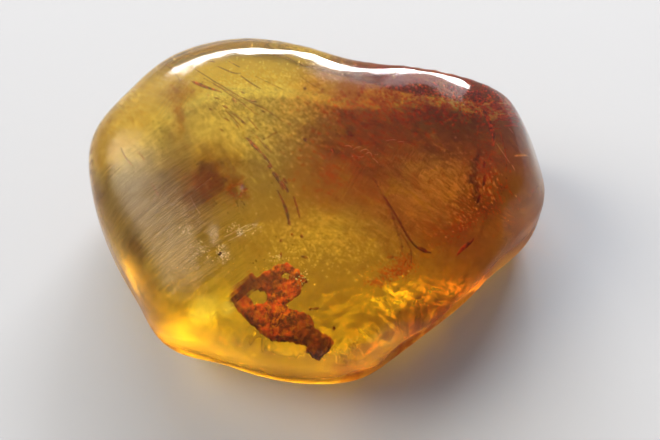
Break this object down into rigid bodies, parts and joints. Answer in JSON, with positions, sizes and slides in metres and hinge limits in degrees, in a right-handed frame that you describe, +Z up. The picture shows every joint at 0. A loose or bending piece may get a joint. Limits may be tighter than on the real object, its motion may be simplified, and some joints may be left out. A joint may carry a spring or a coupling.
{
  "type": "kauri gum",
  "caption": "Hand-polished lump of clear golden fossil resin with bark and plant scraps sealed inside, one chipped edge and a flat resting base.",
  "frame": {"origin": "centre of the bounding box in plan, on the flat base the lump lies on", "axes": "+X along the length, towards the chipped end; +Y across, towards the high back edge; +Z up from the flat base to the domed crown"},
  "size_m": [0.065, 0.0492, 0.024],
  "materials": {
    "gum": "hand-polished clear golden resin, redder at one end, fine polishing scratches, chipped along one edge",
    "bark": "matt dark red, crumbly decayed bark",
    "scrap": "matt dark brown dry plant matter"
  },
  "bodies": {
    "root": {"gum_upper": "gum", "gum_lower": "gum", "bark_flake": "bark", "seed_husk": "scrap", "bark_splinter": "scrap", "bud_scale": "scrap", "leaf_sliver": "scrap"}
  },
  "joints": []
}
